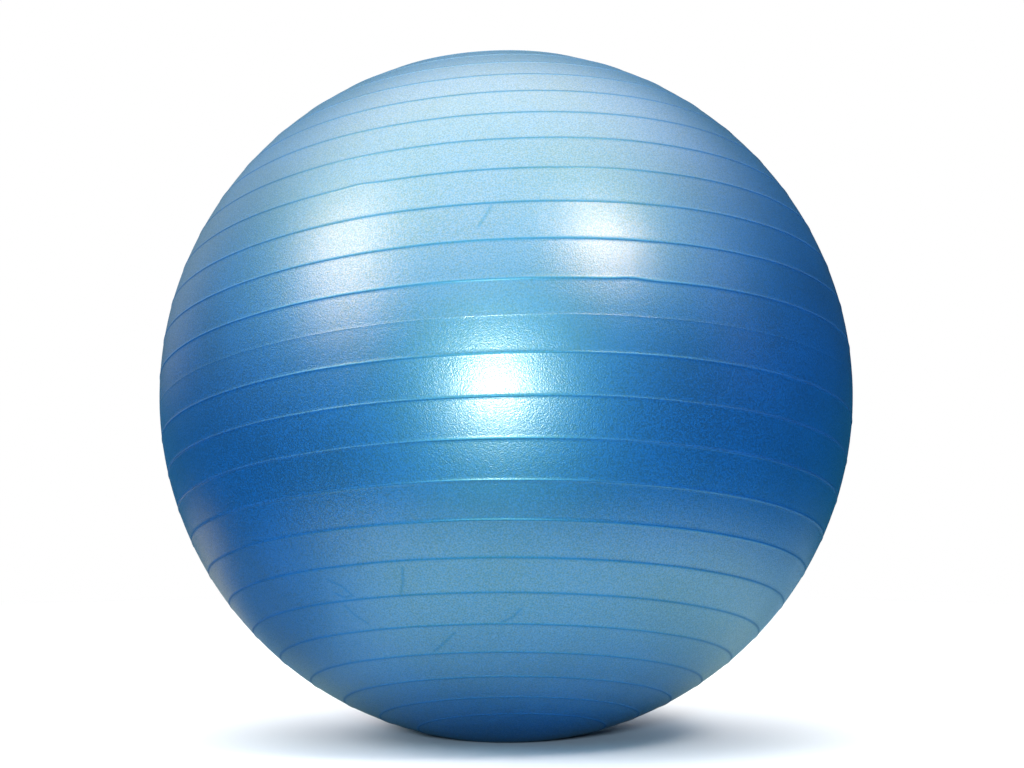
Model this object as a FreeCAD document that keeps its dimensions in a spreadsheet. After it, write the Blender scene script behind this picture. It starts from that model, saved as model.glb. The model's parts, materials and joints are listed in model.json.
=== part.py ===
"""An inflated exercise ball, 65 cm across, standing on the small flat that its own weight presses into it.

The ball is a thin hollow shell of soft PVC. Anti-slip ribs run round it as circles of latitude about the
ball's own axis, evenly spaced on each half. A fine parting line runs round its equator, and the first rib
on each side is a little closer to it than the ribs are to each other. A moulded valve seat is bonded into a
hole at one pole, and a push-in plug closes it. The ball has rolled a little to the back, so its own axis
leans from the vertical towards +Y, and the valve is at the upper, rear end.

Frame: millimetres, +Z up, origin at the middle of the flat where the ball meets the floor.
"""

import FreeCAD
import Part
import Sketcher
import math
import os

DRIVING_DIMENSIONS = (
    # alias, value, meaning
    ("ball_diameter", 650, "outer diameter of the smooth wall"),
    ("contact_diameter", 96, "flat where the ball meets the floor"),
    ("wall_thickness", 0.9, "wall of the inflated shell"),
    ("axis_tilt", 15, "degrees that the ball's axis leans to the back"),
    ("rib_pitch", 6.25, "degrees of latitude from one rib to the next"),
    ("first_rib", 5.5, "degrees from the parting line to the first rib on each side"),
    ("rib_height", 0.35, "height of a rib above the wall"),
    ("rib_width", 3.0, "width of a rib where it meets the wall"),
    ("parting_height", 0.25, "height of the mould's parting line"),
    ("parting_width", 0.9, "width of the mould's parting line"),
    ("valve_hole_diameter", 26, "hole in the shell for the valve seat"),
    ("flange_diameter", 40, "valve seat's flange, bonded inside the shell"),
    ("flange_edge", 0.6, "thickness of the flange at its rim"),
    ("flange_thickness", 2.0, "thickness of the flange beside the boss"),
    ("collar_diameter", 21, "raised collar round the plug's recess"),
    ("collar_height", 0.6, "height of the collar above the ball"),
    ("collar_slope", 0.8, "run of the collar's sloping outer side"),
    ("recess_diameter", 16.6, "recess that takes the plug's head"),
    ("recess_depth", 1.9, "depth of the recess below the ball's surface"),
    ("bore_diameter", 8.6, "bore that the plug seals, and that a pump's nozzle fits"),
    ("bore_chamfer", 0.5, "chamfer at both ends of the bore"),
    ("boss_diameter", 16, "valve boss where it leaves the flange"),
    ("boss_end_diameter", 13.6, "valve boss at its inner end"),
    ("boss_length", 18, "depth of the boss's inner end below the ball's surface"),
    ("plug_clearance", 0.05, "radial clearance of the plug in the bore"),
    ("seat_gap", 0.05, "gap between the plug's head and the recess's floor"),
    ("head_diameter", 15.6, "plug's head"),
    ("head_thickness", 2.2, "plug's head at its rim"),
    ("head_crown", 0.5, "rise of the head's domed top"),
    ("head_fillet", 0.6, "rounding of the head's upper rim"),
    ("dimple_diameter", 3.4, "dimple in the middle of the head"),
    ("dimple_depth", 0.5, "depth of that dimple"),
    ("neck_diameter", 7.6, "plug's stem between its barbs"),
    ("barb_count", 4, "barbs on the stem"),
    ("barb_pitch", 4.2, "distance from one barb to the next"),
    ("barb_land", 1.2, "straight length of a barb"),
    ("barb_ramp", 1.4, "sloping length under a barb"),
    ("first_barb", 1.6, "depth of the first barb below the head"),
    ("tip_length", 2.6, "tapered tip below the last barb"),
    ("tip_diameter", 5.6, "end of the tip"),
    ("core_diameter", 3.6, "blind hole up the stem, which lets it flex"),
    ("core_depth", 14, "depth of the blind hole"),
)
RIBS_PER_HALF = 12
FLOOR_CUT_DEPTH = 5

# Sketcher's numbers: the sketch's origin and horizontal axis, its vertical axis, and the points of an edge
ORIGIN, VERTICAL_AXIS = -1, -2
START, END, CENTRE = 1, 2, 3
UPWARD = FreeCAD.Vector(0, 0, 1)
ANY_TURN = 1  # a rotation of no degrees forgets its axis, so it starts with one, and an expression sets it

BALL_RADIUS = "Dims.ball_diameter / 2"
INNER_RADIUS = "(Dims.ball_diameter / 2 - Dims.wall_thickness)"
CENTRE_HEIGHT = "sqrt((Dims.ball_diameter / 2)^2 - (Dims.contact_diameter / 2)^2)"

doc = FreeCAD.newDocument("ExerciseBall")


def make_sheet():
    """The driving dimensions, one to a row: the value with its alias, and what it measures."""
    sheet = doc.addObject("Spreadsheet::Sheet", "Dims")
    for row, (alias, value, meaning) in enumerate(DRIVING_DIMENSIONS, start=1):
        sheet.set(f"A{row}", str(value))
        sheet.setAlias(f"A{row}", alias)
        sheet.set(f"B{row}", meaning)
    doc.recompute()
    return sheet


sheet = make_sheet()


def value_of(expression):
    """The number that an expression has now."""
    return float(sheet.evalExpression(expression))


def origin_plane(body, role):
    """One of a body's own origin planes, found by its role."""
    return next(item for item in body.Origin.OriginFeatures if item.Role == role)


def new_sketch(body, name, role="YZ_Plane"):
    """A sketch on one of the body's origin planes. On the YZ plane its axes are the body's Y and Z."""
    sketch = body.newObject("Sketcher::SketchObject", name)
    sketch.AttachmentSupport = (origin_plane(body, role), [""])
    sketch.MapMode = "FlatFace"
    return sketch


def lean_with_ball(sketch):
    """Moves a sketch's origin to the ball's centre and turns its vertical axis onto the ball's own axis."""
    sketch.AttachmentOffset = FreeCAD.Placement(FreeCAD.Vector(), FreeCAD.Rotation(UPWARD, ANY_TURN))
    sketch.setExpression("AttachmentOffset.Base.y", CENTRE_HEIGHT)
    sketch.setExpression("AttachmentOffset.Rotation.Angle", "-Dims.axis_tilt")


def bind(sketch, constraint, expression):
    """Adds a constraint and ties its value to an expression."""
    number = sketch.addConstraint(constraint)
    sketch.setExpression(f"Constraints[{number}]", expression)


def fix_point(sketch, geometry, end, x, y):
    """Holds a point of a piece of geometry at x, y, two expressions, from the sketch's origin."""
    if value_of(x) == 0:
        sketch.addConstraint(Sketcher.Constraint("PointOnObject", geometry, end, VERTICAL_AXIS))
    else:
        bind(sketch, Sketcher.Constraint("DistanceX", ORIGIN, START, geometry, end, value_of(x)), x)
    height = value_of(y)
    if height == 0:
        sketch.addConstraint(Sketcher.Constraint("PointOnObject", geometry, end, ORIGIN))
    elif height > 0:
        bind(sketch, Sketcher.Constraint("DistanceY", ORIGIN, START, geometry, end, height), y)
    else:
        drop = Sketcher.Constraint("DistanceY", geometry, end, ORIGIN, START, -height)
        bind(sketch, drop, f"-({y})")


def add_arc(sketch, centre, radius, start, finish):
    """An arc that runs anticlockwise from one point to the other."""
    circle = Part.Circle(centre, UPWARD, radius)
    return sketch.addGeometry(
        Part.ArcOfCircle(circle, circle.parameter(start), circle.parameter(finish))
    )


def draw_outline(sketch, corners):
    """A closed outline through corners, each (x, y, edge), where edge is how the outline goes on from there.

    "line" is a straight edge. Anything else is the height of an arc's centre on the sketch's vertical axis,
    and the arc runs clockwise, over the top.
    """
    points = [FreeCAD.Vector(value_of(x), value_of(y), 0) for x, y, _ in corners]
    edges = []
    for number, (_, _, edge) in enumerate(corners):
        here, there = points[number], points[(number + 1) % len(points)]
        if edge == "line":
            edges.append((sketch.addGeometry(Part.LineSegment(here, there)), START, END))
            continue
        middle = FreeCAD.Vector(0, value_of(edge), 0)
        arc = add_arc(sketch, middle, (here - middle).Length, there, here)
        sketch.addConstraint(Sketcher.Constraint("PointOnObject", arc, CENTRE, VERTICAL_AXIS))
        edges.append((arc, END, START))
    for number, (geometry, first, last) in enumerate(edges):
        after, after_first, _ = edges[(number + 1) % len(edges)]
        sketch.addConstraint(Sketcher.Constraint("Coincident", geometry, last, after, after_first))
        x, y, _ = corners[number]
        fix_point(sketch, geometry, first, x, y)


def revolve(body, kind, name, sketch):
    """A full turn of a sketch about its own vertical axis, as a PartDesign::Revolution or ::Groove."""
    feature = body.newObject(f"PartDesign::{kind}", name)
    feature.Profile = sketch
    feature.ReferenceAxis = (sketch, ["V_Axis"])
    feature.Angle = 360
    sketch.Visibility = False
    doc.recompute()
    return feature


def new_body(name, label):
    body = doc.addObject("PartDesign::Body", name)
    body.Label = label
    return body


def stand_at_pole(body):
    """Puts a body's origin where the ball's axis leaves the ball at the top, with its Z along that axis."""
    sideways = FreeCAD.Vector(1, 0, 0)
    body.Placement = FreeCAD.Placement(FreeCAD.Vector(), FreeCAD.Rotation(sideways, ANY_TURN))
    body.setExpression("Placement.Base.y", f"{BALL_RADIUS} * sin(Dims.axis_tilt)")
    body.setExpression("Placement.Base.z", f"{CENTRE_HEIGHT} + {BALL_RADIUS} * cos(Dims.axis_tilt)")
    body.setExpression("Placement.Rotation.Angle", "-Dims.axis_tilt")


def ridges():
    """Every ridge round the ball from the lowest up, as latitude, height and width (all expressions)."""
    rib = ("Dims.rib_height", "Dims.rib_width")
    latitudes = [f"(Dims.first_rib + {number} * Dims.rib_pitch)" for number in range(RIBS_PER_HALF)]
    above = [(latitude, *rib) for latitude in latitudes]
    below = [(f"-{latitude}", *rib) for latitude in latitudes]
    return [*reversed(below), ("0", "Dims.parting_height", "Dims.parting_width"), *above]


def turned(direction, degrees):
    """A direction in a sketch's plane, turned anticlockwise."""
    return FreeCAD.Rotation(UPWARD, degrees).multVec(direction)


def draw_ribbed_half(sketch):
    """Half of the ball's outline, from its lower pole to its upper: the wall between round-topped ridges."""
    wall_radius = value_of(BALL_RADIUS)
    level = FreeCAD.Vector(1, 0, 0)
    middle, pole = FreeCAD.Vector(), FreeCAD.Vector(0, wall_radius, 0)
    point = -pole
    walls, chain = [], []
    for latitude, height, width in ridges():
        ridge_radius = f"({height}^2 + ({width} / 2)^2) / (2 * {height})"
        centre_radius = f"({BALL_RADIUS} + {height} - {ridge_radius})"
        reach, radius = value_of(centre_radius), value_of(ridge_radius)
        # The ridge's circle crosses the wall's circle at this angle to each side of the ridge's own latitude.
        spread = math.degrees(
            math.acos((wall_radius**2 + reach**2 - radius**2) / (2 * wall_radius * reach))
        )
        outward = turned(level, value_of(latitude))
        foot, top = (turned(outward, angle) * wall_radius for angle in (-spread, spread))

        walls.append(add_arc(sketch, middle, wall_radius, point, foot))
        ridge = add_arc(sketch, outward * reach, radius, foot, top)
        bind(sketch, Sketcher.Constraint("Radius", ridge, radius), ridge_radius)
        centre_x, centre_y = (f"{centre_radius} * {part}({latitude})" for part in ("cos", "sin"))
        fix_point(sketch, ridge, CENTRE, centre_x, centre_y)
        chain += [walls[-1], ridge]
        point = top
    walls.append(add_arc(sketch, middle, wall_radius, point, pole))
    chain.append(walls[-1])

    bind(sketch, Sketcher.Constraint("Radius", walls[0], wall_radius), BALL_RADIUS)
    for wall in walls:
        sketch.addConstraint(Sketcher.Constraint("Coincident", wall, CENTRE, ORIGIN, START))
    for wall in walls[1:]:
        sketch.addConstraint(Sketcher.Constraint("Equal", walls[0], wall))
    for arc, after in zip(chain, chain[1:]):
        sketch.addConstraint(Sketcher.Constraint("Coincident", arc, END, after, START))
    axis = sketch.addGeometry(Part.LineSegment(pole, -pole))
    sketch.addConstraint(Sketcher.Constraint("Coincident", chain[-1], END, axis, START))
    sketch.addConstraint(Sketcher.Constraint("Coincident", chain[0], START, axis, END))
    for end in (START, END):
        sketch.addConstraint(Sketcher.Constraint("PointOnObject", axis, end, VERTICAL_AXIS))


def make_ball_shell():
    """The hollow PVC ball with its ribs, parting line, floor flat and valve hole."""
    body = new_body("BallShell", "ball_shell")

    outside = new_sketch(body, "OutsideProfile")
    lean_with_ball(outside)
    draw_ribbed_half(outside)
    revolve(body, "Revolution", "Outside", outside)

    # The floor presses the wall and the ribs flat. The trimming disc is twice as wide as the flat.
    floor = new_sketch(body, "FloorTrim", "XY_Plane")
    disc_radius = value_of("Dims.contact_diameter")
    disc = floor.addGeometry(Part.Circle(FreeCAD.Vector(), UPWARD, disc_radius))
    floor.addConstraint(Sketcher.Constraint("Coincident", disc, CENTRE, ORIGIN, START))
    bind(floor, Sketcher.Constraint("Radius", disc, disc_radius), "Dims.contact_diameter")
    trim = body.newObject("PartDesign::Pocket", "FloorFlat")
    trim.Profile = floor
    trim.Length = FLOOR_CUT_DEPTH
    floor.Visibility = False
    doc.recompute()

    inside = new_sketch(body, "AirProfile")
    flat_half = f"sqrt({INNER_RADIUS}^2 - ({CENTRE_HEIGHT} - Dims.wall_thickness)^2)"
    draw_outline(
        inside,
        (
            ("0", "Dims.wall_thickness", "line"),
            ("0", f"{CENTRE_HEIGHT} + {INNER_RADIUS}", CENTRE_HEIGHT),
            (flat_half, "Dims.wall_thickness", "line"),
        ),
    )
    revolve(body, "Groove", "AirSpace", inside)

    opening = new_sketch(body, "ValveHoleProfile")
    lean_with_ball(opening)
    draw_outline(
        opening,
        (
            ("0", f"{BALL_RADIUS} - Dims.boss_length", "line"),
            ("0", f"{BALL_RADIUS} + Dims.boss_length", "line"),
            ("Dims.valve_hole_diameter / 2", f"{BALL_RADIUS} + Dims.boss_length", "line"),
            ("Dims.valve_hole_diameter / 2", f"{BALL_RADIUS} - Dims.boss_length", "line"),
        ),
    )
    revolve(body, "Groove", "ValveHole", opening)
    return body


def on_sphere(radius, distance):
    """Height of a sphere's surface at a distance from the valve's axis, counted from the pole."""
    return f"(sqrt({radius}^2 - ({distance})^2) - {BALL_RADIUS})"


def make_valve_seat():
    """The moulded seat: a flange bonded inside the shell, a collar and recess outside, and a bored boss."""
    body = new_body("ValveSeat", "valve_seat")
    profile = new_sketch(body, "SeatProfile")
    sphere_centre = f"-{BALL_RADIUS}"
    bore, recess = "Dims.bore_diameter / 2", "Dims.recess_diameter / 2"
    collar, hole = "Dims.collar_diameter / 2", "Dims.valve_hole_diameter / 2"
    flange = "Dims.flange_diameter / 2"
    outer, inner = f"({BALL_RADIUS})", INNER_RADIUS
    draw_outline(
        profile,
        (
            (f"{bore} + Dims.bore_chamfer", "-Dims.recess_depth", "line"),
            (recess, "-Dims.recess_depth", "line"),
            (recess, "Dims.collar_height", "line"),
            (f"{collar} - Dims.collar_slope", "Dims.collar_height", "line"),
            (collar, on_sphere(outer, collar), sphere_centre),
            (hole, on_sphere(outer, hole), "line"),
            (hole, on_sphere(inner, hole), sphere_centre),
            (flange, on_sphere(inner, flange), "line"),
            (flange, f"{on_sphere(inner, flange)} - Dims.flange_edge", "line"),
            ("Dims.boss_diameter / 2", "-Dims.recess_depth - Dims.flange_thickness", "line"),
            ("Dims.boss_end_diameter / 2", "-Dims.boss_length", "line"),
            (f"{bore} + Dims.bore_chamfer", "-Dims.boss_length", "line"),
            (bore, "-Dims.boss_length + Dims.bore_chamfer", "line"),
            (bore, "-Dims.recess_depth - Dims.bore_chamfer", "line"),
        ),
    )
    revolve(body, "Revolution", "Seat", profile)
    stand_at_pole(body)
    return body


def stem_corners(underside, barb):
    """The stem's outline from the head down: each barb is a straight land and a slope to the neck."""
    neck = "Dims.neck_diameter / 2"
    corners = []
    for number in range(int(value_of("Dims.barb_count"))):
        top = f"{underside} - Dims.first_barb - {number} * Dims.barb_pitch"
        corners += [
            (neck, top, "line"),
            (barb, top, "line"),
            (barb, f"{top} - Dims.barb_land", "line"),
            (neck, f"{top} - Dims.barb_land - Dims.barb_ramp", "line"),
        ]
    return corners


def make_valve_plug():
    """The push-in plug: a domed head with a dimple, and a hollow barbed stem."""
    body = new_body("ValvePlug", "valve_plug")
    profile = new_sketch(body, "PlugProfile")
    underside = "(-Dims.recess_depth + Dims.seat_gap)"
    rim_top = f"({underside} + Dims.head_thickness)"
    head, barb = "Dims.head_diameter / 2", "Dims.bore_diameter / 2 - Dims.plug_clearance"
    dome_radius = f"((({head})^2 + Dims.head_crown^2) / (2 * Dims.head_crown))"
    dome_centre = f"({rim_top} + Dims.head_crown - {dome_radius})"
    dimple = "Dims.dimple_diameter / 2"
    dome_at_dimple = f"({dome_centre} + sqrt({dome_radius}^2 - ({dimple})^2))"
    stem_end = (
        f"({underside} - Dims.first_barb - (Dims.barb_count - 1) * Dims.barb_pitch"
        " - Dims.barb_land - Dims.barb_ramp - Dims.tip_length)"
    )
    core = "Dims.core_diameter / 2"
    draw_outline(
        profile,
        (
            ("0", f"{dome_at_dimple} - Dims.dimple_depth", "line"),
            (dimple, f"{dome_at_dimple} - Dims.dimple_depth", "line"),
            (dimple, dome_at_dimple, dome_centre),
            (head, rim_top, "line"),
            (head, underside, "line"),
            ("Dims.neck_diameter / 2", underside, "line"),
            *stem_corners(underside, barb),
            ("Dims.tip_diameter / 2", stem_end, "line"),
            (core, stem_end, "line"),
            (core, f"{stem_end} + Dims.core_depth", "line"),
            ("0", f"{stem_end} + Dims.core_depth", "line"),
        ),
    )
    plug = revolve(body, "Revolution", "Plug", profile)

    rounding = body.newObject("PartDesign::Fillet", "HeadRounding")
    rounding.Base = (plug, upper_rim(plug.Shape, value_of(head), value_of(rim_top)))
    rounding.setExpression("Radius", "Dims.head_fillet")
    body.Tip = rounding
    doc.recompute()
    stand_at_pole(body)
    return body


def upper_rim(shape, radius, height):
    """Names of the round edges with this radius at this height."""
    found = []
    for number, edge in enumerate(shape.Edges, start=1):
        round_edge = isinstance(edge.Curve, Part.Circle) and abs(edge.Curve.Radius - radius) < 1e-4
        if round_edge and abs(edge.Curve.Center.z - height) < 1e-4:
            found.append(f"Edge{number}")
    return found


def write_parts(bodies):
    """Checks the whole document, then writes each body to its own STEP file."""
    doc.recompute()
    failed = [o.Name for o in doc.Objects if "Invalid" in o.State or "Error" in o.State]
    if failed:
        raise RuntimeError(f"these objects failed: {failed}")
    for body in bodies:
        if body.Shape.isNull() or not body.Shape.isValid():
            raise RuntimeError(f"{body.Label} has no valid shape")
    os.makedirs("parts", exist_ok=True)
    for body in bodies:
        body.Shape.exportStep(f"parts/{body.Label}.step")
        solids = len(body.Shape.Solids)
        print(f"{body.Label}: {solids} solid, {body.Shape.Volume / 1000:.3f} cm3, {body.Shape.BoundBox}")


write_parts([make_ball_shell(), make_valve_seat(), make_valve_plug()])
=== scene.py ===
"""The looks of the exercise ball: a ribbed, pearly blue PVC shell, its valve seat and its plug.

Everything is in metres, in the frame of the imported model. The ball's own frame, used for the ribs and the
marks, has its origin at the ball's centre and its Z along the valve's axis: latitude 0 is the mould's
parting line and latitude 90 the valve. Named angles are in degrees.
"""

import json
import math

import bpy
import numpy as np
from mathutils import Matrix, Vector, noise


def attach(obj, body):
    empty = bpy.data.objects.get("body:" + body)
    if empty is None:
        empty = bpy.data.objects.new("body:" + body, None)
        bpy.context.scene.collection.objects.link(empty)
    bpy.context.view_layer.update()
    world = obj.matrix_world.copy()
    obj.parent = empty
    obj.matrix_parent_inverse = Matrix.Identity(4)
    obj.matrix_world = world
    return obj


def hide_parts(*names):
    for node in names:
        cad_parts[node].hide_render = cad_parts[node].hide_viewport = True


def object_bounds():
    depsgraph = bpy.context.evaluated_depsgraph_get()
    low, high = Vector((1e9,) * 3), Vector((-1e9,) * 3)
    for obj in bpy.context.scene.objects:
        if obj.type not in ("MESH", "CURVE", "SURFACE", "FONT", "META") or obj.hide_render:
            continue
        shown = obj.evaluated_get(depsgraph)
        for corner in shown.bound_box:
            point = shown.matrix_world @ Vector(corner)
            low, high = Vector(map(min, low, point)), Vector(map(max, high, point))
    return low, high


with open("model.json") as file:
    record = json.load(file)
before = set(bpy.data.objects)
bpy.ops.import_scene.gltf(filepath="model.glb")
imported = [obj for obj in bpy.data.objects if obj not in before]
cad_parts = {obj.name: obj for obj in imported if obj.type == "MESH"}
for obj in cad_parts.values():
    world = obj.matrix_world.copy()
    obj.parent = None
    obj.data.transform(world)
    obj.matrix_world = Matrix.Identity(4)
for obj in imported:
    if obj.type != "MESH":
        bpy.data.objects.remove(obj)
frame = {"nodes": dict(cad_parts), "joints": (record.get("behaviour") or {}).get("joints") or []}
cad_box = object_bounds()

# The ball, as the CAD model has it
MM = 0.001
PARTING_HEIGHT = 0.25 * MM
RADIUS = (cad_box[1].x - cad_box[0].x) / 2 - PARTING_HEIGHT
CONTACT_RADIUS = 48 * MM
WALL = 0.9 * MM
CENTRE = Vector((0, 0, math.sqrt(RADIUS**2 - CONTACT_RADIUS**2)))
AXIS = Vector(frame["joints"][0]["axis"]).normalized()
VALVE_HOLE_RADIUS = 13 * MM
RIB_PITCH = 6.25
FIRST_RIB = 5.5
RIBS_PER_HALF = 12
RIB_HEIGHT = 0.35 * MM
RIB_WIDTH = 3.0 * MM
PARTING_WIDTH = 0.9 * MM

# How the inflated skin departs from the CAD model. The parting line is fainter, the ribs have sunk a little
# towards the floor, and they lie further apart on one side of the ball than on the other. The drift and the
# swell fade out over the last degrees before the valve hole, so that the valve's parts fit. A scale here is
# the number of a noise's features in one radius.
PARTING_RELIEF = 0.06 * MM
RIB_SINK = 1.2
RIB_FAN = 2.4
RIB_FAN_LONGITUDE = -42
RIB_WANDER = 0.35 * MM
WANDER_SCALE = 5.0
SWELL = 0.3 * MM
WAVINESS = 0.25 * MM
WAVE_SCALE = 3.0
SKIRT_HEIGHT = 0.06 * MM
SKIRT_WIDTH = 5 * MM
FLOOR_BLEND = 1.5 * MM
FADE_BEFORE_VALVE = 8

# Short kinks, where a rib steps up and back, as (latitude, longitude)
KINKS = [(23.5, -122.0), (5.0, -77.5)]
KINK_RISE = 1.8 * MM
KINK_SPAN = 14 * MM

# Creases that packing and use have left in the skin: each runs through points of (latitude, longitude)
CREASES = [
    [(-39.5, -120.0), (-42.0, -121.0), (-44.5, -123.0)],
    [(-39.5, -138.0), (-41.0, -135.5), (-43.0, -134.0), (-43.0, -136.5), (-42.0, -138.0)],
    [(-44.5, -137.5), (-46.5, -136.5), (-48.5, -134.5)],
    [(-56.0, -120.5), (-54.0, -116.0), (-52.5, -113.0)],
    [(-51.0, -101.0), (-50.0, -98.0), (-48.5, -96.0)],
    [(-8.0, -59.5), (-11.0, -60.5), (-12.5, -62.5)],
    [(-9.0, -50.0), (-12.0, -52.0)],
    [(17.0, -99.0), (13.5, -101.0)],
    [(-1.0, -138.5), (-2.5, -138.5)],
]
CREASE_WIDTH = 2.6 * MM
CREASE_DEPTH = 0.08 * MM

# How far the ribs' plain colour reaches: its share is the core less the edge times the distance in widths
RIB_CORE = 1.5
RIB_EDGE = 2.6

# How finely the skin is divided. The rows in a cap count both of its ends. The lip is a last narrow row,
# which keeps the shading true up to the valve hole's edge.
COLUMNS = 256
ROWS_ON_RIDGE = 7
ROWS_BESIDE_RIDGE = (3.5 * MM, 8.0 * MM)
ROWS_IN_LOWER_CAP = 12
ROWS_IN_UPPER_CAP = 10
ROWS_INSIDE = 30
HOLE_LIP = 0.3 * MM

BALL_TURN = Vector((0, 0, 1)).rotation_difference(AXIS).to_matrix()


def degrees_on_ball(length):
    """The angle at the ball's centre that an arc of this length on its surface spans."""
    return math.degrees(length / RADIUS)


def ridges():
    """Every ridge round the ball from the lowest up, as latitude, height and width."""
    rib = (RIB_HEIGHT, RIB_WIDTH)
    latitudes = [FIRST_RIB + number * RIB_PITCH for number in range(RIBS_PER_HALF)]
    above = [(latitude, *rib) for latitude in latitudes]
    below = [(-latitude, *rib) for latitude in latitudes]
    return [*reversed(below), (0, PARTING_RELIEF, PARTING_WIDTH), *above]


def row_latitudes():
    """Latitudes of the mesh's rows from the lower pole to the valve hole: close together at the ridges."""
    core = np.linspace(-0.5, 0.5, ROWS_ON_RIDGE)
    beside = np.array(ROWS_BESIDE_RIDGE)
    rows = []
    for latitude, _, width in ridges():
        offsets = np.concatenate([-beside[::-1], core * width, beside])
        rows.append(latitude + np.degrees(offsets / RADIUS))
    between = [[(below[-1] + above[0]) / 2] for below, above in zip(rows, rows[1:])]
    hole_edge = 90 - degrees_on_ball(VALVE_HOLE_RADIUS)
    lower_cap = np.linspace(-90, rows[0][0], ROWS_IN_LOWER_CAP)[1:-1]
    upper_cap = np.linspace(rows[-1][-1], hole_edge, ROWS_IN_UPPER_CAP)[1:]
    hole_lip = [hole_edge - degrees_on_ball(HOLE_LIP)]
    return np.sort(np.concatenate([lower_cap, *rows, *between, upper_cap, hole_lip]))


def ridge_height(latitude):
    """Height above the wall at each latitude: the ribs with their soft skirts, and the parting line."""
    height = np.zeros_like(latitude)
    for ridge_latitude, top, width in ridges():
        away = np.radians(latitude - ridge_latitude) * RADIUS
        inside = np.abs(away) < width / 2
        height += np.where(inside, top * 0.5 * (1 + np.cos(2 * np.pi * away / width)), 0)
        height += SKIRT_HEIGHT * (top / RIB_HEIGHT) ** 2 * np.exp(-((away / SKIRT_WIDTH) ** 2))
    return height


def on_rib(latitude):
    """1 on the ribs and 0 on the wall between them, with a soft edge."""
    share = np.zeros_like(latitude)
    for ridge_latitude, _, width in ridges():
        if width == RIB_WIDTH:
            away = np.radians(np.abs(latitude - ridge_latitude)) * RADIUS
            share = np.maximum(share, np.clip(RIB_CORE - RIB_EDGE * away / width, 0, 1))
    return share


def smooth_noise(points, scale, seed):
    """Smooth noise, about -1 to 1, at points on the unit sphere."""
    shift = Vector((seed * 7.3, seed * 3.1, seed * 5.7))
    return np.array([noise.noise(Vector(point) * scale + shift) for point in points])


def directions(latitude, longitude):
    """Unit vectors in the ball's own frame."""
    across = np.cos(latitude)
    return np.stack([across * np.cos(longitude), across * np.sin(longitude), np.sin(latitude)], axis=-1)


def on_skin(latitude, longitude):
    """The point of the skin at a latitude and longitude in degrees."""
    aim = directions(math.radians(latitude), math.radians(longitude))
    return CENTRE + BALL_TURN @ Vector(aim) * RADIUS


def settle_on_floor(points, lowest):
    """Rounds the ball off smoothly into the flat, so that nothing is lower than lowest."""
    height = points[:, 2] - lowest
    near = np.maximum(FLOOR_BLEND - np.abs(height), 0)
    points[:, 2] = lowest + np.maximum(height, 0) + near**2 / (4 * FLOOR_BLEND)
    return points


def place_on_floor(points, lowest):
    """Takes points from the ball's own frame to the world, where the floor presses a flat into the ball."""
    return settle_on_floor(points @ np.array(BALL_TURN).T + np.array(CENTRE), lowest)


def drawn_latitude(lat, lon):
    """How far north or south of its place in the mould the inflated skin carries each point, in radians."""
    sink = math.radians(RIB_SINK) * np.cos(lat)
    fan = math.radians(RIB_FAN) * np.sin(2 * lat) * np.cos(lon - math.radians(RIB_FAN_LONGITUDE))
    aim = directions(lat, lon)
    wander = RIB_WANDER / RADIUS * smooth_noise(aim, WANDER_SCALE, 2) * np.cos(lat)
    for kink in KINKS:
        away = np.linalg.norm(aim - directions(*np.radians(kink)), axis=-1) * RADIUS
        wander += KINK_RISE / RADIUS * np.exp(-((away / KINK_SPAN) ** 2))
    return fan - sink + wander


def bulge(aim):
    """How far the skin stands out from a perfect ball: a swell round its middle, and slow waves."""
    height = (aim @ np.array(BALL_TURN).T)[:, 2]
    return SWELL * (1 - height**2) + WAVINESS * smooth_noise(aim, WAVE_SCALE, 1)


def shell_points():
    """The shell's rows of points, outside from the lower pole up to the valve hole and back down inside.

    With them comes how far each outside row is on a rib, from 0 to 1.
    """
    outer = np.radians(row_latitudes())
    inner = np.linspace(outer[-1], -np.pi / 2, ROWS_INSIDE)[:-1]
    longitude = np.linspace(0, 2 * np.pi, COLUMNS, endpoint=False)
    rows = []
    for angles, is_outside in ((outer, True), (inner, False)):
        lat, lon = (grid.ravel() for grid in np.meshgrid(angles, longitude, indexing="ij"))
        aim = directions(lat, lon)
        reach = np.full(lat.shape, RADIUS - WALL)
        if is_outside:
            free = np.clip(np.degrees(outer[-1] - lat) / FADE_BEFORE_VALVE, 0, 1)
            reach = RADIUS + ridge_height(np.degrees(lat)) + free * bulge(aim)
            aim = directions(lat + free * drawn_latitude(lat, lon), lon)
        rows.append(place_on_floor(aim * reach[:, None], 0 if is_outside else WALL))
    return np.concatenate(rows), on_rib(np.degrees(outer))


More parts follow.
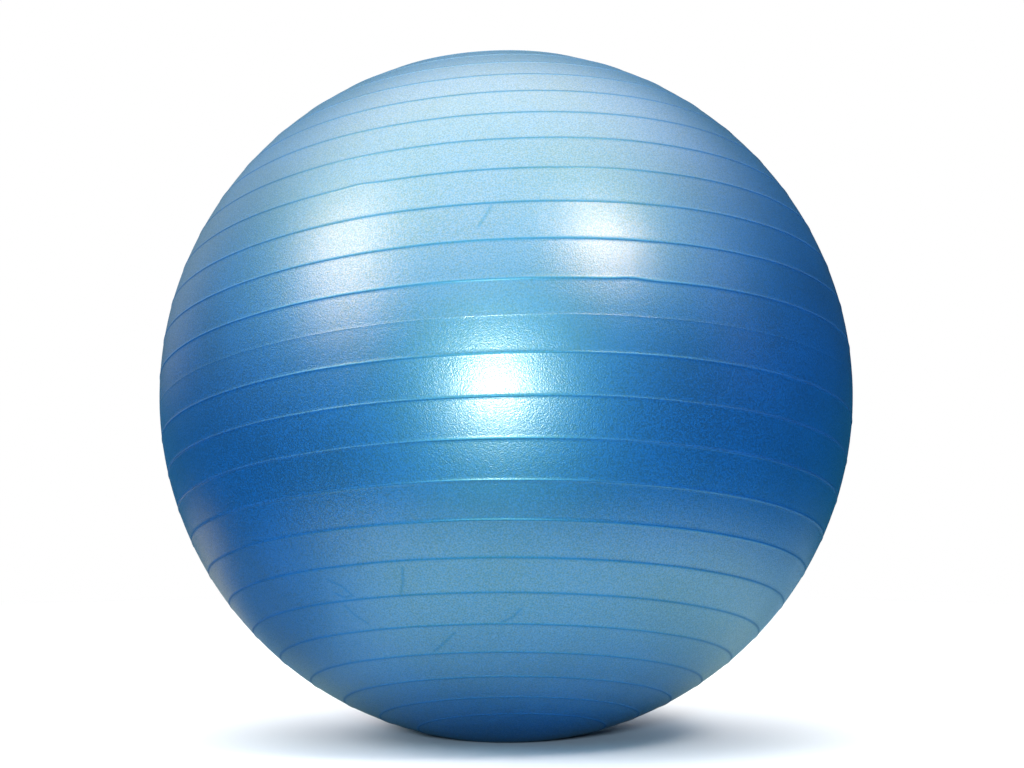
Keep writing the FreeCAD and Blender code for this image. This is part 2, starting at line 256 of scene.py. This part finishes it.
def build_shell():
    """The closed shell: rows of quads from pole to valve hole, through the wall and back."""
    rings, rib_share = shell_points()
    rows = len(rings) // COLUMNS
    outer_pole = place_on_floor(np.array([[0, 0, -RADIUS]]), 0)
    inner_pole = place_on_floor(np.array([[0, 0, WALL - RADIUS]]), WALL)
    vertices = np.concatenate([rings, outer_pole, inner_pole])
    faces = []
    for row in range(rows - 1):
        for column in range(COLUMNS):
            after = (column + 1) % COLUMNS
            low, high = row * COLUMNS, (row + 1) * COLUMNS
            faces.append((low + column, low + after, high + after, high + column))
    end = (rows - 1) * COLUMNS
    for column in range(COLUMNS):
        after = (column + 1) % COLUMNS
        faces.append((rows * COLUMNS, after, column))
        faces.append((rows * COLUMNS + 1, end + column, end + after))
    mesh = bpy.data.meshes.new("ball_skin")
    mesh.from_pydata([tuple(v) for v in vertices], [], faces)
    mesh.polygons.foreach_set("use_smooth", [True] * len(mesh.polygons))
    share = np.zeros(len(vertices), np.float32)
    share[: len(rib_share) * COLUMNS] = np.repeat(rib_share, COLUMNS)
    mesh.attributes.new("on_rib", "FLOAT", "POINT").data.foreach_set("value", share)
    mesh.update()
    skin = bpy.data.objects.new("ball_skin", mesh)
    bpy.context.scene.collection.objects.link(skin)
    return skin


def opaque(colour):
    """A colour with its alpha of 1, or the socket that a colour comes from."""
    return colour if isinstance(colour, bpy.types.NodeSocket) else (*colour, 1)


class Nodes:
    """A short way to write a node tree, where an input is a socket to link or a value to set."""

    def __init__(self, tree):
        self.tree = tree
        tree.nodes.clear()

    def add(self, kind, inputs=None, **settings):
        """A node with these settings, and with its inputs linked or set by name or number."""
        node = self.tree.nodes.new(kind)
        for name, value in settings.items():
            setattr(node, name, value)
        for name, value in (inputs or {}).items():
            if isinstance(value, bpy.types.NodeSocket):
                self.tree.links.new(value, node.inputs[name])
            else:
                node.inputs[name].default_value = value
        return node

    def math(self, operation, *values):
        return self.add("ShaderNodeMath", dict(enumerate(values)), operation=operation).outputs[0]

    def vector(self, operation, first, second):
        return self.add("ShaderNodeVectorMath", {0: first, 1: second}, operation=operation).outputs["Vector"]

    def dot(self, first, second):
        node = self.add("ShaderNodeVectorMath", {0: first, 1: second}, operation="DOT_PRODUCT")
        return node.outputs["Value"]

    def scale(self, vector, factor):
        node = self.add("ShaderNodeVectorMath", {0: vector, "Scale": factor}, operation="SCALE")
        return node.outputs["Vector"]

    def length(self, vector):
        return self.add("ShaderNodeVectorMath", {0: vector}, operation="LENGTH").outputs["Value"]

    def remap(self, value, before, after, **settings):
        """Carries a value from one range, (low, high), to another, and keeps it inside."""
        inputs = {"Value": value, 1: before[0], 2: before[1], 3: after[0], 4: after[1]}
        return self.add("ShaderNodeMapRange", inputs, **settings).outputs[0]

    def fall(self, value, near, far, top):
        """top where the value is up to near, falling softly to 0 at far."""
        return self.remap(value, (near, far), (top, 0.0), interpolation_type="SMOOTHSTEP")

    def mix(self, factor, first, second):
        """A colour that goes from the first to the second as the factor goes from 0 to 1."""
        inputs = {0: factor, 6: opaque(first), 7: opaque(second)}
        return self.add("ShaderNodeMix", inputs, data_type="RGBA").outputs[2]

    def noise(self, place, scale, detail=0):
        """Smooth noise, about 0 to 1, with as many features in a metre as the scale says."""
        node = self.add("ShaderNodeTexNoise", {"Vector": place, "Scale": scale, "Detail": detail})
        return node.outputs["Fac"]

    def ramp(self, factor, stops):
        """A colour ramp through (position, colour) stops."""
        node = self.add("ShaderNodeValToRGB", {"Fac": factor})
        elements = node.color_ramp.elements
        while len(elements) < len(stops):
            elements.new(0.5)
        for element, (position, colour) in zip(elements, stops):
            element.position = position
            element.color = opaque(colour)
        return node.outputs["Color"]


def new_material(name):
    """An empty material and its nodes."""
    material = bpy.data.materials.new(name)
    material.use_nodes = True
    return material, Nodes(material.node_tree)


def set_material(obj, material):
    """Gives the whole object one material."""
    obj.data.materials.clear()
    obj.data.materials.append(material)


# The skin's finish. A noise scale is the number of its features in a metre.
PEBBLE_SCALE = 560
PEBBLE_DEPTH = 0.045 * MM
GRAIN_SCALE = 960
GRAIN_DEPTH = 0.14 * MM
CLOUD_SCALE = 9
CLOUD_SHARE = 0.4
SPECKLE_SCALE = 640
SPECKLE_SHARE = 0.75
SPECKLE_OFFSET = -0.075
RIB_SHARE = 0.03
FLAKE_SCALE = 820
FLAKE_RANGE = (0.3, 0.7)
FLAKE_COAT = (0.5, 1.0)
CREASE_DULLING = 0.6
BODY_STOPS = [(0.38, (0.0005, 0.02, 0.15)), (0.62, (0.0005, 0.05, 0.295))]


def skin_bump(nodes, place, creases, strength):
    """The creases, a soft pebbling of about two millimetres and over it a fine grain of about one."""
    normal = nodes.add("ShaderNodeBump", {"Height": creases, "Distance": -CREASE_DEPTH}).outputs["Normal"]
    for scale, depth in ((PEBBLE_SCALE, PEBBLE_DEPTH), (GRAIN_SCALE, GRAIN_DEPTH)):
        grain = {"Height": nodes.noise(place, scale), "Strength": strength, "Distance": depth}
        normal = nodes.add("ShaderNodeBump", {**grain, "Normal": normal}).outputs["Normal"]
    return normal


def line_mask(nodes, place, start, end, width):
    """1 along the line between two points, falling to 0 at a width from it."""
    run = end - start
    offset = nodes.vector("SUBTRACT", place, start)
    along = nodes.math("DIVIDE", nodes.dot(offset, run), run.dot(run))
    share = nodes.add("ShaderNodeClamp", {"Value": along}).outputs[0]
    away = nodes.length(nodes.vector("SUBTRACT", offset, nodes.scale(run, share)))
    return nodes.fall(away, 0.0, width, 1.0)


def crease_mask(nodes, place):
    """1 along the middle of each crease, falling to 0 at its edges."""
    mask = 0.0
    for crease in CREASES:
        line = [on_skin(latitude, longitude) for latitude, longitude in crease]
        for start, end in zip(line, line[1:]):
            mask = nodes.math("MAXIMUM", mask, line_mask(nodes, place, start, end, CREASE_WIDTH))
    return mask


def pearl_material():
    """Pearly blue PVC: a navy body, a wide cyan pigment sheen and a satin skin over it, with a fine grain."""
    material, nodes = new_material("pearl_pvc")
    place = nodes.add("ShaderNodeTexCoord").outputs["Object"]
    rib = nodes.add("ShaderNodeAttribute", attribute_name="on_rib").outputs["Fac"]
    creases = crease_mask(nodes, place)
    speckle = nodes.noise(place, SPECKLE_SCALE)
    pigment = nodes.math("MULTIPLY_ADD", speckle, SPECKLE_SHARE, SPECKLE_OFFSET)
    pigment = nodes.math("MULTIPLY_ADD", rib, RIB_SHARE, pigment)
    pigment = nodes.math("MULTIPLY_ADD", nodes.noise(place, CLOUD_SCALE, 3), CLOUD_SHARE, pigment)
    body = nodes.ramp(pigment, BODY_STOPS)
    normal = skin_bump(nodes, place, creases, nodes.math("SUBTRACT", 1.0, rib))
    gloss = nodes.remap(nodes.noise(place, FLAKE_SCALE), FLAKE_RANGE, FLAKE_COAT)
    dull = nodes.math("MAXIMUM", rib, nodes.math("MULTIPLY", creases, CREASE_DULLING))
    shader = nodes.add(
        "ShaderNodeBsdfPrincipled",
        {
            "Base Color": body,
            "Roughness": 0.52,
            "IOR": 2.15,
            "Specular Tint": (0.22, 1.0, 0.84, 1),
            "Diffuse Roughness": 0.25,
            "Coat Weight": nodes.math("MULTIPLY", gloss, nodes.math("SUBTRACT", 1.0, dull)),
            "Coat Tint": (0.2, 0.94, 1.0, 1),
            "Coat Roughness": 0.31,
            "Coat IOR": 1.9,
            "Normal": normal,
            "Coat Normal": normal,
        },
    )
    nodes.add("ShaderNodeOutputMaterial", {"Surface": shader.outputs[0]})
    return material


# The moulded parts' finish: wear from handling, which makes them a little smoother or rougher, and a coarse
# and a fine texture from the mould
HANDLING_SCALE = 110
SMOOTHER_BY = 0.08
ROUGHER_BY = 0.12
MOULD_COARSE_SCALE = 700
MOULD_COARSE_DEPTH = 0.06 * MM
MOULD_FINE_SCALE = 2400
MOULD_FINE_DEPTH = 0.02 * MM
MOULD_STRENGTH = 0.6


def mould_bump(nodes, place):
    """The coarse texture of the mould with the fine one over it."""
    coarse = {"Height": nodes.noise(place, MOULD_COARSE_SCALE, 1), "Distance": MOULD_COARSE_DEPTH}
    under = nodes.add("ShaderNodeBump", {**coarse, "Strength": MOULD_STRENGTH}).outputs["Normal"]
    fine = {"Height": nodes.noise(place, MOULD_FINE_SCALE), "Distance": MOULD_FINE_DEPTH}
    top = nodes.add("ShaderNodeBump", {**fine, "Strength": MOULD_STRENGTH, "Normal": under})
    return top.outputs["Normal"]


def moulded_material(name, colour, worn_colour, sheen, roughness):
    """A moulded plastic part: a faint texture, paler or darker where it has been handled."""
    material, nodes = new_material(name)
    place = nodes.add("ShaderNodeTexCoord").outputs["Object"]
    handling = nodes.noise(place, HANDLING_SCALE, 4)
    tone = nodes.ramp(handling, [(0.35, colour), (0.7, worn_colour)])
    satin = nodes.remap(handling, (0.0, 1.0), (roughness - SMOOTHER_BY, roughness + ROUGHER_BY))
    shader = nodes.add(
        "ShaderNodeBsdfPrincipled",
        {
            "Base Color": tone,
            "Roughness": satin,
            "Specular Tint": opaque(sheen),
            "Normal": mould_bump(nodes, place),
        },
    )
    nodes.add("ShaderNodeOutputMaterial", {"Surface": shader.outputs[0]})
    return material


def dress_valve():
    """The valve seat in the ball's blue, and the plug in a grey that looks white under the flash."""
    seat = moulded_material(
        "seat_pvc",
        colour=(0.001, 0.075, 0.3),
        worn_colour=(0.001, 0.045, 0.2),
        sheen=(0.15, 0.7, 1.0),
        roughness=0.38,
    )
    plug = moulded_material(
        "plug_plastic",
        colour=(0.55, 0.56, 0.56),
        worn_colour=(0.42, 0.42, 0.4),
        sheen=(1.0, 1.0, 1.0),
        roughness=0.34,
    )
    set_material(frame["nodes"]["valve_seat"], seat)
    set_material(frame["nodes"]["valve_plug"], plug)


# The stage: camera, floor and lights. The camera looks at a point this far to the right of the ball's centre
# and above it.
CAMERA_AZIMUTH = -7.5
CAMERA_ELEVATION = 1.2
CAMERA_DISTANCE = 11 * RADIUS
LENS = 133.4
AIM = (5.5 * MM, 11.8 * MM)

# The floor as the ball reflects it, dark with painted pools of light, painted shadows and a greyer patch on
# it,
# and as the camera sees it: the colours undo the warm tint of the lights
FLOOR_REACH = 30
FLOOR_DARK = (0.0, 0.035, 0.09)
FLOOR_PALE = (0.55, 0.8, 0.74)
FLOOR_BEHIND = (0.33, 0.6, 0.95)
FLOOR_BESIDE = (0.27, 0.31, 0.28)
FLOOR_SEEN = (0.5, 0.7, 0.9)

# From the ball's foot, the distances over which the floor that the camera sees turns into plain white
WHITE_FROM = (0.6, 1.8)

# Soft spots on the floor as the ball reflects it: a painted shadow at the ball's left, a painted contact
# shadow under the ball, painted pools of light in front of it and behind it, and a greyer patch at its back
# left. Each has its centre as the camera has it (right, away), the radii where the spot is still full and
# where it is gone, its strength, and how many times shorter it is from front to back
SPOTS = {
    "shadow": ((-0.46, -0.06), (0.15, 0.43), 0.85, 1.0),
    "contact_shadow": ((0.0, 0.0), (0.05, 0.36), 0.86, 1.0),
    "front_light_pool": ((-0.02, -0.2), (0.36, 0.7), 0.83, 1.4),
    "back_light_pool": ((0.0, 0.3), (0.5, 0.85), 0.42, 1.0),
    "side_patch": ((-0.58, 0.5), (0.12, 0.42), 1.0, 1.0),
}

# The flash beside the camera: direction (right, away from the camera, up), distance from the ball's centre,
# diameter and radiance
FLASH_DIRECTION = (-0.053, -1.0, 0.073)
FLASH_DISTANCE = 3.4
FLASH_SIZE = 0.32
FLASH_RADIANCE = 460

# Soft lights far off: direction (right, away from the camera, up), the angle at which the light has fallen
# to about a third, and radiance
GLOWS = {
    "overhead": ((-0.07, 0.15, 1.0), 42, (5.0, 3.65, 2.9)),
    "front_ceiling": ((-0.2, -0.6, 0.77), 22, (2.5, 1.9, 1.4)),
    "above_flash": ((-0.03, -0.93, 0.37), 15, (0.6, 0.75, 0.6)),
    "left_window": ((-0.70, -0.19, 0.69), 12, (14.5, 9.3, 7.0)),
    "left_lamp": ((-0.73, -0.44, 0.5), 10, (13.5, 9.3, 7.0)),
    "right_window": ((0.46, -0.465, 0.757), 7.5, (50, 34, 25)),
    "right_wall": ((0.8, -0.1, 0.58), 12, (1.2, 1.0, 0.9)),
    "doorway": ((0.93, -0.1, 0.22), 5, (0.7, 0.5, 0.5)),
    "left_wall": ((-0.85, 0.1, 0.5), 30, (0.25, 0.35, 0.3)),
    "left_back": ((-0.55, 0.8, 0.25), 19, (0.6, 0.55, 0.45)),
}

# The dim room behind them
ROOM = (0.0, 0.003, 0.016)


def camera_axes():
    """Right, up and backward directions of the camera."""
    azimuth, elevation = math.radians(CAMERA_AZIMUTH), math.radians(CAMERA_ELEVATION)
    back = Vector(
        (
            math.sin(azimuth) * math.cos(elevation),
            -math.cos(azimuth) * math.cos(elevation),
            math.sin(elevation),
        )
    )
    right = Vector((math.cos(azimuth), math.sin(azimuth), 0))
    return right, back.cross(right), back


def place_camera():
    """The camera, nearly level with the ball's middle and a little to its left."""
    right, up, back = camera_axes()
    data = bpy.data.cameras.new("camera")
    data.lens = LENS
    data.clip_end = 100
    camera = bpy.data.objects.new("camera", data)
    camera.location = CENTRE + back * CAMERA_DISTANCE
    target = CENTRE + right * AIM[0] + up * AIM[1]
    camera.rotation_euler = (target - camera.location).to_track_quat("-Z", "Y").to_euler()
    bpy.context.scene.collection.objects.link(camera)
    bpy.context.scene.camera = camera


def level_axes():
    """The level directions to the camera's right and away from it."""
    right, _, back = camera_axes()
    return right, -Vector((back.x, back.y, 0)).normalized()


def seen_from_camera(direction):
    """A unit vector from a direction given as (right, away from the camera, up)."""
    right, away = level_axes()
    return (right * direction[0] + away * direction[1] + Vector((0, 0, direction[2]))).normalized()


def add_flash():
    """The flash beside the camera: a small bright softbox that faces the ball."""
    aim = seen_from_camera(FLASH_DIRECTION)
    data = bpy.data.lights.new("flash", "AREA")
    data.shape = "DISK"
    data.size = FLASH_SIZE
    data.energy = FLASH_RADIANCE * math.pi * (math.pi * FLASH_SIZE**2 / 4)
    light = bpy.data.objects.new("flash", data)
    light.location = CENTRE + aim * FLASH_DISTANCE
    light.rotation_euler = (-aim).to_track_quat("-Z", "Y").to_euler()
    light.visible_camera = False
    bpy.context.scene.collection.objects.link(light)


def floor_spot(nodes, place, centre, radii, strength, squash):
    """How strong a soft spot is at each place on the floor."""
    right, away = level_axes()
    middle = right * centre[0] + away * centre[1]
    offset = nodes.vector("MULTIPLY", nodes.vector("SUBTRACT", place, middle), (1, squash, 1))
    return nodes.fall(nodes.length(offset), *radii, strength)


def add_floor():
    """A pale floor that runs out into the white of the background; in the ball's reflections it carries
    painted shadows and painted pools of light.
    """
    mesh = bpy.data.meshes.new("floor")
    corners = [(x * FLOOR_REACH, y * FLOOR_REACH, 0) for x, y in ((-1, -1), (1, -1), (1, 1), (-1, 1))]
    mesh.from_pydata(corners, [], [(0, 1, 2, 3)])
    floor = bpy.data.objects.new("floor", mesh)
    bpy.context.scene.collection.objects.link(floor)

    material, nodes = new_material("floor")
    place = nodes.add("ShaderNodeTexCoord").outputs["Object"]
    seen = nodes.add("ShaderNodeLightPath").outputs["Is Camera Ray"]
    spots = {name: floor_spot(nodes, place, *spot) for name, spot in SPOTS.items()}
    # Painted shade and light on the floor that the ball reflects: the painted shadows darken it and the
    # painted pools of light brighten it
    clear = nodes.math("SUBTRACT", 1.0, nodes.math("MAXIMUM", spots["shadow"], spots["contact_shadow"]))
    behind = nodes.math("MULTIPLY", spots["back_light_pool"], clear)
    front = nodes.math("MULTIPLY", spots["front_light_pool"], clear)
    colour = nodes.mix(behind, FLOOR_DARK, FLOOR_BEHIND)
    colour = nodes.mix(spots["side_patch"], colour, FLOOR_BESIDE)
    colour = nodes.mix(front, colour, FLOOR_PALE)
    colour = nodes.mix(seen, colour, FLOOR_SEEN)
    surface = nodes.add("ShaderNodeBsdfDiffuse", {"Color": colour})
    white = nodes.add("ShaderNodeEmission", {"Color": (1, 1, 1, 1), "Strength": 1.0})
    fade = nodes.remap(nodes.length(place), WHITE_FROM, (0.0, 1.0))
    share = nodes.math("MULTIPLY", fade, seen)
    mix = nodes.add("ShaderNodeMixShader", {0: share, 1: surface.outputs[0], 2: white.outputs[0]})
    nodes.add("ShaderNodeOutputMaterial", {"Surface": mix.outputs[0]})
    set_material(floor, material)


def set_sky():
    """White behind the ball for the camera; for light and reflections, a dim room with soft lights."""
    world = bpy.data.worlds.new("studio")
    world.use_nodes = True
    bpy.context.scene.world = world
    nodes = Nodes(world.node_tree)
    aim = nodes.add("ShaderNodeTexCoord").outputs["Generated"]
    total = ROOM
    for direction, spread, radiance in GLOWS.values():
        off_centre = nodes.math("SUBTRACT", 1.0, nodes.dot(aim, seen_from_camera(direction)))
        share = nodes.math("DIVIDE", off_centre, 1 - math.cos(math.radians(spread)))
        fall = nodes.math("EXPONENT", nodes.math("MULTIPLY", nodes.math("MULTIPLY", share, share), -1.0))
        total = nodes.vector("ADD", total, nodes.scale(radiance, fall))
    room = nodes.add("ShaderNodeBackground", {"Color": total, "Strength": 1.0})
    white = nodes.add("ShaderNodeBackground", {"Color": (1, 1, 1, 1), "Strength": 1.0})
    seen = nodes.add("ShaderNodeLightPath").outputs["Is Camera Ray"]
    mix = nodes.add("ShaderNodeMixShader", {0: seen, 1: room.outputs[0], 2: white.outputs[0]})
    nodes.add("ShaderNodeOutputWorld", {"Surface": mix.outputs[0]})


def set_stage():
    """Camera, floor and lights, shown with plain colours."""
    place_camera()
    add_floor()
    set_sky()
    add_flash()
    scene = bpy.context.scene
    scene.view_settings.view_transform = "Standard"
    scene.view_settings.look = "None"


skin = build_shell()
set_material(skin, pearl_material())
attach(skin, "ball")
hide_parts("ball_shell")
dress_valve()
set_stage()
